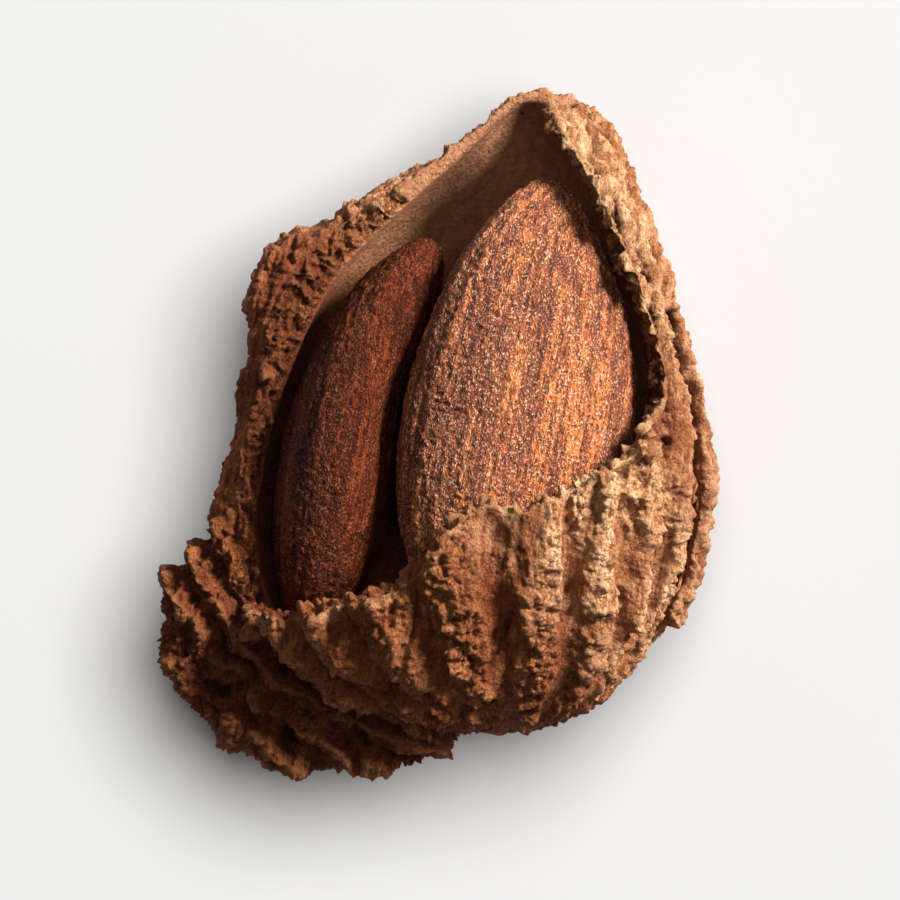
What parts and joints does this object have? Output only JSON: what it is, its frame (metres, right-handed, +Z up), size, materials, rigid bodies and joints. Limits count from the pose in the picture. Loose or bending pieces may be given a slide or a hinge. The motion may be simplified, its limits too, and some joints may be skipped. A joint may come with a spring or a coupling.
{
  "type": "almond in its broken shell",
  "caption": "Almond lying on its back, its corky ridged shell broken open along the front to show twin brown kernels in the hollow.",
  "frame": {"origin": "middle of the small flat spot under the shell that it rests on", "axes": "+Y along the shell from its stem end to its pointed tip, +Z up out of the open mouth, +X to the right seen from above"},
  "size_m": [0.0279, 0.0389, 0.0176],
  "materials": {
    "almond_shell": "matte, corky and fibrous",
    "kernel_skin": "dry, grainy and lengthwise wrinkled, with a slight sheen"
  },
  "bodies": {
    "root": {"shell": "almond_shell", "right_kernel": "kernel_skin", "left_kernel": "kernel_skin"}
  },
  "joints": []
}
